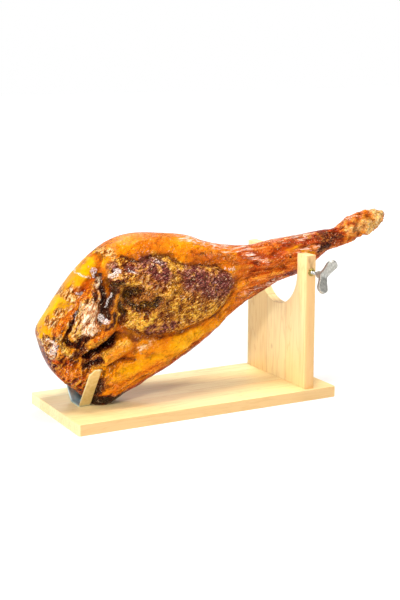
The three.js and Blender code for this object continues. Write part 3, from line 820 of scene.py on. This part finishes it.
def bevel_edges(thing, width, segments, angle):
    limit = {"limit_method": "ANGLE", "angle_limit": math.radians(angle)}
    return modify(thing, "BEVEL", width=width * MM, segments=segments, harden_normals=True, **limit)


def stepped_bore():
    """Drills for the insert's barrel and for the screw: radius, start and end."""
    outer = -UPRIGHT["width"] / 2
    inner = NOTCH["y"] - NOTCH["radius"]
    start = outer - DRILL["beyond"]
    step = outer + INSERT["length"] + GAP
    return [(INSERT["barrel"] + GAP, start, step), (SCREW["bore"], start, inner + DRILL["beyond"])]


def upright_outline():
    half = UPRIGHT["width"] / 2
    foot = BOARD_THICKNESS
    top = foot + UPRIGHT["height"]
    arc = []
    for step in range(NOTCH["steps"] + 1):
        turn = math.pi * step / NOTCH["steps"]
        y = NOTCH["y"] + NOTCH["radius"] * math.cos(turn)
        arc.append((y, NOTCH["z"] - NOTCH["radius"] * math.sin(turn)))
    mouth = [(NOTCH["y"] + NOTCH["radius"], top)] + arc + [(NOTCH["y"] - NOTCH["radius"], top)]
    return [(-half, foot), (half, foot), (half, top)] + mouth + [(-half, top)]


def make_upright():
    left = UPRIGHT["middle"] - UPRIGHT["thickness"] / 2
    plate = prism("upright_plate", upright_outline(), UPRIGHT["thickness"], lambda y, z, w: (left + w, y, z))
    bevel_edges(plate, UPRIGHT["edge"], 3, 40)
    for radius, start, end in stepped_bore():
        drill = lathe("drill", [(0, start), (radius, start), (radius, end), (0, end)], DRILL["sides"])
        modify(plate, "BOOLEAN", object=drill)
        bpy.data.objects.remove(drill)
    return smooth_shade(plate, 30)


def fork_line(from_left):
    """The strip's outer line, from the near arm's end over the web to the far arm's end."""
    lean = math.radians(FORK["lean"])
    foot = BOARD_THICKNESS
    bend, web = FORK["bend"], FORK["half_web"]
    fold = 0.5 * math.pi - lean
    radius = bend / math.tan(fold / 2)
    reach = (FORK["top"] - foot) / math.cos(lean)
    clip = max(0, 1 - from_left / FORK_CLIP["run"]) * FORK_CLIP["rise"] / math.cos(lean)
    half = [
        (web + distance * math.sin(lean), foot + distance * math.cos(lean))
        for distance in np.linspace(reach - clip, bend, FORK["arm_steps"])
    ]
    for step in range(1, FORK["bend_steps"]):
        turn = fold * (1 - step / FORK["bend_steps"])
        half.append((web - bend + radius * math.sin(turn), foot + radius * (1 - math.cos(turn))))
    half.append((web - bend, foot))
    return [(-y, z) for y, z in half] + [(0, foot)] + half[::-1]


def make_fork():
    left = FORK["x"] - FORK["width"] / 2
    strip = bmesh.new()
    rows = []
    for column in FORK_COLUMNS:
        line = fork_line(column)
        rows.append([strip.verts.new(Vector((left + column, FORK["y"] + y, z)) * MM) for y, z in line])
    for row, following in zip(rows, rows[1:]):
        for i in range(len(row) - 1):
            strip.faces.new((row[i], row[i + 1], following[i + 1], following[i]))
    fork = object_from("fork_strip", strip)
    middle = fork.data.polygons[len(fork.data.polygons) // 2]
    inwards = -1 if middle.normal.z < 0 else 1
    modify(fork, "SOLIDIFY", thickness=FORK["sheet"] * MM, use_even_offset=True, offset=inwards)
    bevel_edges(fork, FORK["edge"], 2, 60)
    return smooth_shade(fork, 35)


def make_insert():
    face = -UPRIGHT["width"] / 2 - GAP
    end = -UPRIGHT["width"] / 2 + INSERT["length"]
    bore = SCREW["radius"] + GAP
    flange, collar, barrel = INSERT["flange"], INSERT["collar"], INSERT["barrel"]
    flange_top, collar_top = face - INSERT["flange_height"], face - INSERT["collar_height"]
    chamfer, edge, fillet = INSERT["chamfer"], INSERT["collar_edge"], INSERT["fillet"]
    rim, shoulder = INSERT["flange_edge"], INSERT["shoulder"]
    profile = [
        (bore, collar_top + chamfer), (bore + chamfer, collar_top), (collar - edge, collar_top),
        (collar, collar_top + edge), (collar, flange_top - fillet), (collar + edge, flange_top),
        (flange - rim, flange_top), (flange - shoulder, flange_top + fillet), (flange, flange_top + rim),
        (flange, face - fillet), (flange - fillet, face), (barrel, face), (barrel, end), (bore, end),
    ]
    return smooth_shade(lathe("brass_insert", profile, INSERT["sides"]), 50)


def make_screw():
    """A rod with a helical thread from the handle to a plain chamfered tip."""
    low, high = (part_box("clamp_screw")[i].y / MM for i in (0, 1))
    rings = int((high - low) / SCREW["pitch"] * SCREW["rings_per_turn"])
    turns = 2 * np.pi * np.arange(SCREW["sides"]) / SCREW["sides"]
    y, turn = np.meshgrid(np.linspace(low, high, rings), turns, indexing="ij")
    wave = np.abs(((y / SCREW["pitch"] - turn / (2 * np.pi)) % 1) * 2 - 1)
    radius = SCREW["radius"] - (SCREW["radius"] - SCREW["root"]) * smoothstep(wave, *SCREW_FLANKS)
    tip = smoothstep(y, high - SCREW_TIP["length"], high - SCREW_TIP["end"])
    radius = radius * (1 - tip) + np.minimum(radius, SCREW_TIP["radius"]) * tip
    x = UPRIGHT["middle"] + radius * np.sin(turn)
    z = SCREW["z"] + radius * np.cos(turn)
    ends = [[UPRIGHT["middle"], end, SCREW["z"]] for end in (low, high)]
    return grid_mesh("threaded_rod", np.stack([x, y, z], -1), *ends)


def wing_outline():
    reach, neck, lobe, waist = WING["reach"], WING["neck"], WING["lobe"], WING["waist"]
    spread = math.acos((lobe - waist) / reach)
    points = [(0, -waist), (neck, -waist)]
    for step in range(WING["steps"] + 1):
        turn = -spread + 2 * spread * step / WING["steps"]
        points.append((reach + lobe * math.cos(turn), lobe * math.sin(turn)))
    return points + [(neck, waist), (0, waist)]


def make_hub():
    face, hub, end = HANDLE["face"], HANDLE["hub"], HANDLE["end"]
    radial, axial = HUB_EDGE["radial"], HUB_EDGE["axial"]
    core = [
        (0, end), (hub - radial, end), (hub, end + axial),
        (hub, face - radial), (hub - radial, face), (0, face),
    ]
    return lathe("cast_wing_handle", core, HANDLE["sides"])


def make_paddles():
    centre = Matrix.Translation(Vector((UPRIGHT["middle"], HANDLE["wings"], SCREW["z"])) * MM)
    tilt = Matrix.Rotation(-math.radians(90 - HANDLE["tilt"]), 4, "Y")
    flare = Matrix.Rotation(-math.radians(HANDLE["flare"]), 4, "Z")
    upright = Matrix.Rotation(math.pi / 2, 4, "X")
    paddles = []
    for side in (0, math.pi):
        paddle = prism("paddle", wing_outline(), WING["sheet"], lambda u, v, w: (u, v, w - WING["sheet"] / 2))
        paddle.data.transform(centre @ tilt @ Matrix.Rotation(side, 4, "Y") @ flare @ upright)
        paddles.append(paddle)
    return paddles


def make_handle():
    """Two flared paddles and a hub, grown together into one casting."""
    handle, paddles = make_hub(), make_paddles()
    whole = bmesh.new()
    for part in (handle, *paddles):
        whole.from_mesh(part.data)
    whole.to_mesh(handle.data)
    whole.free()
    for paddle in paddles:
        bpy.data.objects.remove(paddle)
    modify(handle, "REMESH", mode="VOXEL", voxel_size=CASTING["voxel"] * MM)
    modify(handle, "SMOOTH", factor=CASTING["ease"], iterations=CASTING["rounds"])
    return smooth_shade(handle, 180)


# Node trees
def tint(code):
    """A linear colour from a six-digit screen colour."""
    channels = [int(code[i:i + 2], 16) / 255 for i in (0, 2, 4)]
    linear = [c / 12.92 if c <= 0.04045 else ((c + 0.055) / 1.055) ** 2.4 for c in channels]
    return (*linear, 1)


class Surface:
    """A material, with short calls for the nodes used here."""

    def __init__(self, name, metallic=0.0, coat=0.0, coat_roughness=0.1):
        self.material = bpy.data.materials.new(name)
        self.material.use_nodes = True
        self.tree = self.material.node_tree
        self.shader = self.tree.nodes["Principled BSDF"]
        self.shader.inputs["Metallic"].default_value = metallic
        self.shader.inputs["Coat Weight"].default_value = coat
        self.shader.inputs["Coat Roughness"].default_value = coat_roughness
        self.place = self.tree.nodes.new("ShaderNodeTexCoord").outputs["Object"]

    def add(self, kind, inputs, output=0, **settings):
        node = self.tree.nodes.new(kind)
        for key, value in settings.items():
            setattr(node, key, value)
        for key, value in inputs.items():
            self.feed(node.inputs[key], value)
        return node.outputs[output]

    def feed(self, socket, value):
        if isinstance(value, bpy.types.NodeSocket):
            self.tree.links.new(value, socket)
        else:
            socket.default_value = value

    def vectors(self, operation, first, second, output=0):
        return self.add("ShaderNodeVectorMath", {0: first, 1: second}, output, operation=operation)

    def length(self, vector):
        return self.add("ShaderNodeVectorMath", {0: vector}, 1, operation="LENGTH")

    def axis(self, letter):
        return self.add("ShaderNodeSeparateXYZ", {0: self.place}, letter)

    def stretched(self, factors, vector=None):
        return self.vectors("MULTIPLY", vector or self.place, factors)

    def flowing(self, degrees, slow):
        """Coordinates that change slowly along a direction of the x z plane."""
        cosine, sine = math.cos(math.radians(degrees)), math.sin(math.radians(degrees))
        rows = ((cosine * slow, 0, sine * slow), (0, 1, 0), (-sine, 0, cosine))
        parts = [self.vectors("DOT_PRODUCT", self.place, row, 1) for row in rows]
        return self.add("ShaderNodeCombineXYZ", dict(enumerate(parts)))

    def noise(self, size, detail=3, rough=0.5, vector=None, distortion=0.0, flow=None, stretch=None):
        """Noise of a size in millimetres, drawn out by a flow or a stretch."""
        if flow:
            vector = self.flowing(*flow)
        if stretch:
            vector = self.stretched(stretch)
        inputs = {
            "Vector": vector or self.place, "Scale": 1 / (size * MM), "Detail": detail,
            "Roughness": rough, "Distortion": distortion,
        }
        return self.add("ShaderNodeTexNoise", inputs)

    def lines(self, size, width, distortion, flow):
        """Narrow winding lines, 1 on the line and 0 beside it."""
        value = self.noise(size, 4, 0.55, distortion=distortion, flow=flow)
        return self.span(self.maths("ABSOLUTE", self.maths("SUBTRACT", value, 0.5)), width, 0.0)

    def attribute(self, name):
        return self.add("ShaderNodeAttribute", {}, output=2, attribute_name=name)

    def ramp(self, value, *stops):
        node = self.tree.nodes.new("ShaderNodeValToRGB")
        self.feed(node.inputs[0], value)
        elements = node.color_ramp.elements
        for i, (position, code) in enumerate(stops):
            element = elements[i] if i < len(elements) else elements.new(position)
            element.position = position
            element.color = tint(code)
        return node.outputs[0]

    def mix(self, share, first, second, blend="MIX"):
        node = self.tree.nodes.new("ShaderNodeMix")
        node.data_type = "RGBA"
        node.blend_type = blend
        self.feed(node.inputs[0], share)
        self.feed(node.inputs[6], tint(first) if isinstance(first, str) else first)
        self.feed(node.inputs[7], tint(second) if isinstance(second, str) else second)
        return node.outputs[2]

    def maths(self, operation, first, second=0.0, third=0.0):
        return self.add("ShaderNodeMath", {0: first, 1: second, 2: third}, operation=operation)

    def times(self, first, second):
        return self.maths("MULTIPLY", first, second)

    def span(self, value, low, high, to_low=0.0, to_high=1.0):
        inputs = {0: value, 1: low, 2: high, 3: to_low, 4: to_high}
        return self.add("ShaderNodeMapRange", inputs, interpolation_type="SMOOTHSTEP")

    def bump(self, height, distance, strength, normal=None):
        inputs = {"Height": height, "Distance": distance * MM, "Strength": strength}
        if normal is not None:
            inputs["Normal"] = normal
        return self.add("ShaderNodeBump", inputs)

    def finish(self, color, roughness, normal):
        self.feed(self.shader.inputs["Base Color"], color)
        self.feed(self.shader.inputs["Roughness"], roughness)
        self.feed(self.shader.inputs["Normal"], normal)
        return self.material


class HamSkin(Surface):
    """The ham's surface, with its zones and patterns as fields by name."""

    def __init__(self):
        super().__init__("cured_ham_skin", coat=0.06, coat_roughness=0.1)
        for name, value in HAM_SHADER.items():
            self.shader.inputs[name].default_value = value
        field = {name: self.attribute(name) for name in (*ZONES, *HAM_REGIONS)}
        field.update({name: self.noise(**values) for name, values in PATTERNS.items()})
        field.update({name: self.lines(**values) for name, values in LINES.items()})
        field["specks"] = self.mix(field["butt"], field["lean_grain"], field["butt_grain"])
        field["tone"] = field["specks"]
        for name in ("wrinkles", "crest"):
            field["tone"] = self.maths("MULTIPLY_ADD", field[name], TONE[name], field["tone"])
        self.field = field

    def __getitem__(self, name):
        return self.field[name]

    def paint(self, name):
        pattern, *stops = PAINTS[name]
        return self.ramp(self[pattern], *stops)

    def spread(self, name):
        field, *ends = SPANS[name]
        return self.span(self[field], *ends)

    def layer(self, color, name, top=None, within=None):
        """Lays a paint over a zone whose border is torn by a pattern."""
        zone, pattern, low, high, reach, share = LAYERS[name]
        torn = self.maths("MULTIPLY_ADD", self[pattern], reach, self[zone])
        amount = self.times(self.span(torn, low + reach / 2, high + reach / 2), share)
        if within is not None:
            amount = self.times(amount, within)
        return self.mix(amount, color, top or self.paint(name))


# Ham's skin
def fat_color(s):
    """Fat with drips and stains, rind at the back, sinew along the shank and wax at the rim."""
    color = s.mix(s.spread("dark drips"), s.paint("fat"), DRIP_DARK)
    color = s.mix(s.spread("light drips"), color, DRIP_LIGHT)
    color = s.mix(s.times(s["halo"], s.spread("stains")), color, STAIN)
    color = s.mix(s["front"], s.paint("rind"), color)
    color = s.mix(s.times(s["shank"], SHARES["sinew"]), color, s.paint("sinew"))
    waxy = s.maths("MULTIPLY_ADD", s["blotches"], WAX_TEAR, s["yellow"])
    return s.mix(s.span(waxy, *WAX_SPAN), color, s.paint("wax"))


def purple_over(s, color):
    veiled = s["purple"]
    for name in ("blotches", "specks"):
        veiled = s.maths("MULTIPLY_ADD", s[name], PLUM_TEAR[name], veiled)
    return s.mix(s.span(veiled, *PLUM_SPAN), color, s.paint("plum"))


def unevenness(s):
    """How strongly folds, grain and sparkles show at each place."""
    shank = s.times(s["shank"], SHARES["shank unevenness"])
    butt = s.times(s["butt"], SHARES["butt unevenness"])
    beside = s.maths("MAXIMUM", s["speckle"], s.spread("lean unevenness"))
    coarse = s.maths("MAXIMUM", s.maths("MAXIMUM", shank, butt), beside)
    return s.times(coarse, s.spread("beside wax"))


def fold_shade_and_highlight_over(s, color, uneven):
    """Painted shade in the hollows and along the creases, and painted highlights on the crests."""
    color = s.mix(s.times(s.spread("sunk"), uneven), color, s.paint("sunk"))
    color = s.mix(s.times(s.spread("raised"), uneven), color, CREST_HIGHLIGHT)
    creases = s.times(s["creases"], s.times(uneven, SHARES["creases"]))
    return s.mix(creases, color, s.paint("crease"))


def dark_and_shade_over(s, color):
    """Painted shade in the hollows, creases and crevices, with the dark of the bone and the ankle: brown with
    deeper cores, and mossy veins through them.
    """
    color = s.layer(color, "brown")
    color = s.layer(color, "deepest", DEEPEST_DARK_AND_SHADE)
    mossy = s.times(s["lean"], s.spread("veins in the dark"))
    return s.mix(s.times(s["veins"], mossy), color, VEIN)


def highlight_streaks_over(s, color):
    # Painted highlight streaks, orange at their edges and white at their cores
    color = s.mix(s.times(s["highlight_streak"], s.spread("thread edges")), color, HIGHLIGHT_STREAK_EDGE)
    return s.mix(s.times(s["highlight_streak"], s.spread("thread cores")), color, HIGHLIGHT_STREAK_CORE)


def specks_over(s, color, uneven):
    """Grain, dark pits and light sparkles."""
    color = s.mix(s.span(uneven, 0, 1, 0, SHARES["grain"]), color, s.paint("grain"), "OVERLAY")
    pitted = s.times(s.spread("pits"), s.maths("MAXIMUM", s["speckle"], s["lean"]))
    color = s.mix(s.times(pitted, s.spread("pits beside wax")), color, PIT)
    sparkling = s.times(s.spread("sparkles"), s.spread("sparkling blotches"))
    return s.mix(s.times(sparkling, s.span(uneven, 0, 1, 0, SHARES["sparkles"])), color, SPARKLE)


def ham_material():
    s = HamSkin()
    uneven = unevenness(s)
    color = fat_color(s)
    for name in ("dusty", "crimson", "mould"):
        color = s.layer(color, name)
    color = s.layer(purple_over(s, color), "crust")
    color = dark_and_shade_over(s, fold_shade_and_highlight_over(s, color, uneven))
    bone = s.mix(s.times(s["shank"], SHARES["yellow bone"]), s.paint("cream"), BONE_YELLOW)
    color = s.layer(s.layer(color, "cream", bone), "amber")
    color = specks_over(s, highlight_streaks_over(s, color), uneven)
    color = s.add("ShaderNodeGamma", {0: color, 1: HAM_GAMMA})
    color = s.layer(color, "glint", GLINT, s.spread("glint grit"))
    lean_share = s.times(s["lean"], SHARES["lean roughness"])
    roughness = s.mix(lean_share, s.spread("fat roughness"), s.spread("lean roughness"))
    normal = None
    for name, height, strength in HAM_BUMPS:
        normal = s.bump(s[name], height, strength, normal)
    return s.finish(color, roughness, normal)


# Materials of the stand
def distance_from_half(s, value):
    return s.maths("ABSOLUTE", s.maths("SUBTRACT", value, 0.5))


def pine(name):
    """Glued pine staves, each with its own tone and its own part of the figure."""
    grain_axis, stave_width, offset = STAVES[name]
    s = Surface(name, coat=0.12, coat_roughness=0.3)
    stave = s.maths("DIVIDE", s.maths("ADD", s.axis("Y"), offset * MM), stave_width * MM)
    tone = s.add("ShaderNodeTexWhiteNoise", {"W": s.maths("FLOOR", stave)}, noise_dimensions="1D")
    shift = s.add("ShaderNodeCombineXYZ", {i: s.times(tone, 0.4 + 0.3 * i) for i in range(3)})
    place = s.vectors("ADD", s.place, shift)
    slow = {key: [1.0, 1.0, 1.0] for key in PINE_SLOWNESS}
    for key, factor in PINE_SLOWNESS.items():
        slow[key][grain_axis] = factor
    lines = s.noise(3.2, 4, 0.62, s.stretched(slow["lines"], place))
    figure = s.noise(26, 3, 0.5, s.stretched(slow["figure"], place), 0.6)
    bands = s.maths("FRACT", s.times(figure, PINE_BANDS))
    late = s.span(distance_from_half(s, bands), 0.3, 0.5)
    glue = s.span(distance_from_half(s, s.maths("FRACT", stave)), 0.487, 0.497)
    color = s.mix(s.span(tone, 0, 1), PINE["dull"], PINE["bright"])
    color = s.mix(s.times(late, PINE_SHARES["late"]), color, PINE["late"])
    color = s.mix(s.span(lines, 0.5, 0.72, 0, PINE_SHARES["line"]), color, PINE["line"])
    color = s.mix(s.times(glue, PINE_SHARES["glue"]), color, PINE["glue"])
    return s, color, s.span(lines, 0.4, 0.7, 0.42, 0.58), s.bump(lines, 0.12, 0.7)


def board_material():
    s, color, roughness, normal = pine("pine_board")
    return s.finish(color, roughness, normal)


def upright_material():
    s, color, roughness, normal = pine("pine_upright")
    for place, radius, depth in KNOTS:
        offset = s.vectors("SUBTRACT", s.place, Vector(place) * MM)
        reach = s.length(s.stretched((1, 1, 0.6), offset))
        inner, outer = (factor * radius * MM for factor in KNOT_SPAN)
        color = s.mix(s.span(reach, inner, outer, depth, 0), color, PINE["knot"])
    # The narrow face at the near side is painted darker, a painted shade
    half = UPRIGHT["width"] / 2 * MM
    shade = s.span(s.axis("Y"), -half + MM, -half, 0, PINE_SHARES["end"])
    return s.finish(s.mix(shade, color, PINE["end"]), roughness, normal)


def zinc_material():
    """Plated steel, with a yellow tint painted on the near arm as a warm reflection."""
    s = Surface("zinc_plate", metallic=0.7)
    clouds = s.noise(9, 4, 0.6)
    brushed = s.noise(1.5)
    steel = s.ramp(clouds, (0.35, "A4BEC4"), (0.65, "C8DEE2"))
    warm_reflection = s.ramp(clouds, (0.35, "D2BC80"), (0.65, "E2D09E"))
    color = s.mix(s.span(s.axis("Y"), WARM_REFLECTION_FROM * MM, WARM_REFLECTION_TO * MM), steel, warm_reflection)
    return s.finish(color, s.span(brushed, 0.35, 0.7, 0.34, 0.4), s.bump(brushed, 0.006, 0.3))


def brass_material():
    s = Surface("turned_brass", metallic=1.0)
    rings = s.noise(0.8, 3, 0.6, stretch=(0.2, 1.0, 0.2))
    color = s.ramp(s.noise(4), (0.35, "8E7A3A"), (0.65, "C2AC68"))
    return s.finish(color, s.span(rings, 0.3, 0.7, 0.22, 0.42), s.bump(rings, 0.05, 0.5))


def rod_material():
    s = Surface("screw_steel", metallic=1.0)
    marks = s.noise(1.1, 4, 0.6)
    color = s.ramp(marks, (0.3, "9A9A96"), (0.7, "D4D4D0"))
    return s.finish(color, s.span(marks, 0.3, 0.7, 0.16, 0.34), s.bump(marks, 0.04, 0.5))


def cast_material():
    s = Surface("cast_alloy", metallic=1.0)
    ribs = s.noise(2.2, stretch=(1.0, 1.0, 0.12))
    grain = s.noise(0.9, 4, 0.65)
    color = s.ramp(ribs, (0.3, "9E9D97"), (0.7, "CCCBC4"))
    normal = s.bump(grain, 0.1, 0.8, s.bump(ribs, 0.25, 0.8))
    return s.finish(color, s.span(grain, 0.3, 0.7, 0.46, 0.62), normal)


# Studio
def floor_material():
    s = Surface("pale_floor")
    s.shader.inputs["Emission Color"].default_value = (1, 1, 1, 1)
    s.feed(s.shader.inputs["Emission Strength"], s.span(s.length(s.place), *FLOOR["glow"]))
    haze = s.noise(FLOOR["haze"], 2)
    color = s.ramp(haze, (0.3, "B4B4B4"), (0.7, "BABABA"))
    return s.finish(color, s.span(haze, 0.3, 0.7, 0.7, 0.8), s.bump(haze, 0.01, 0.1))


def make_floor():
    half = FLOOR["half"]
    corners = [(-half, -half, 0), (half, -half, 0), (half, half, 0), (-half, half, 0)]
    mesh = bpy.data.meshes.new("floor")
    mesh.from_pydata(corners, [], [(0, 1, 2, 3)])
    floor = add_object("floor", mesh)
    floor.data.materials.append(floor_material())


def make_light(name, place, size, power, color):
    data = bpy.data.lights.new(name, "AREA")
    data.shape = "DISK"
    data.size = size
    data.energy = power
    data.color = color
    light = add_object(name, data)
    light.location = place
    light.rotation_euler = (Vector(LIGHT_AIM) - Vector(place)).to_track_quat("-Z", "Y").to_euler()


def make_world():
    """A white surround that is brightest below the horizon."""
    world = bpy.data.worlds.new("studio")
    world.use_nodes = True
    tree = world.node_tree
    place = tree.nodes.new("ShaderNodeTexCoord")
    axes = tree.nodes.new("ShaderNodeSeparateXYZ")
    glow = tree.nodes.new("ShaderNodeMapRange")
    tree.links.new(place.outputs["Generated"], axes.inputs[0])
    tree.links.new(axes.outputs["Z"], glow.inputs["Value"])
    for key, value in SKY.items():
        glow.inputs[key].default_value = value
    tree.links.new(glow.outputs[0], tree.nodes["Background"].inputs["Strength"])
    tree.nodes["Background"].inputs["Color"].default_value = (1, 1, 1, 1)
    bpy.context.scene.world = world


def make_studio():
    make_floor()
    make_world()
    for name, values in LIGHTS.items():
        make_light(name, *values)
    bpy.context.scene.view_settings.view_transform = "Standard"


def make_camera():
    data = bpy.data.cameras.new("camera")
    data.lens = CAMERA["lens"]
    camera = add_object("camera", data)
    camera.location = CAMERA["place"]
    camera.rotation_euler = (math.radians(90 - CAMERA["elevation"]), 0, math.radians(CAMERA["azimuth"]))
    bpy.context.scene.camera = camera


def dress(piece, body, node, material):
    piece.data.materials.clear()
    piece.data.materials.append(material)
    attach(piece, body)
    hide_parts(node)


make_camera()
dress(make_ham(), "root", "ham", ham_material())
dress(make_upright(), "root", "upright", upright_material())
dress(make_fork(), "root", "fork", zinc_material())
dress(make_insert(), "root", "thread_insert", brass_material())
dress(make_screw(), "screw", "clamp_screw", rod_material())
dress(make_handle(), "handle", "wing_handle", cast_material())
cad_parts["base_board"].data.materials[0] = board_material()
make_studio()
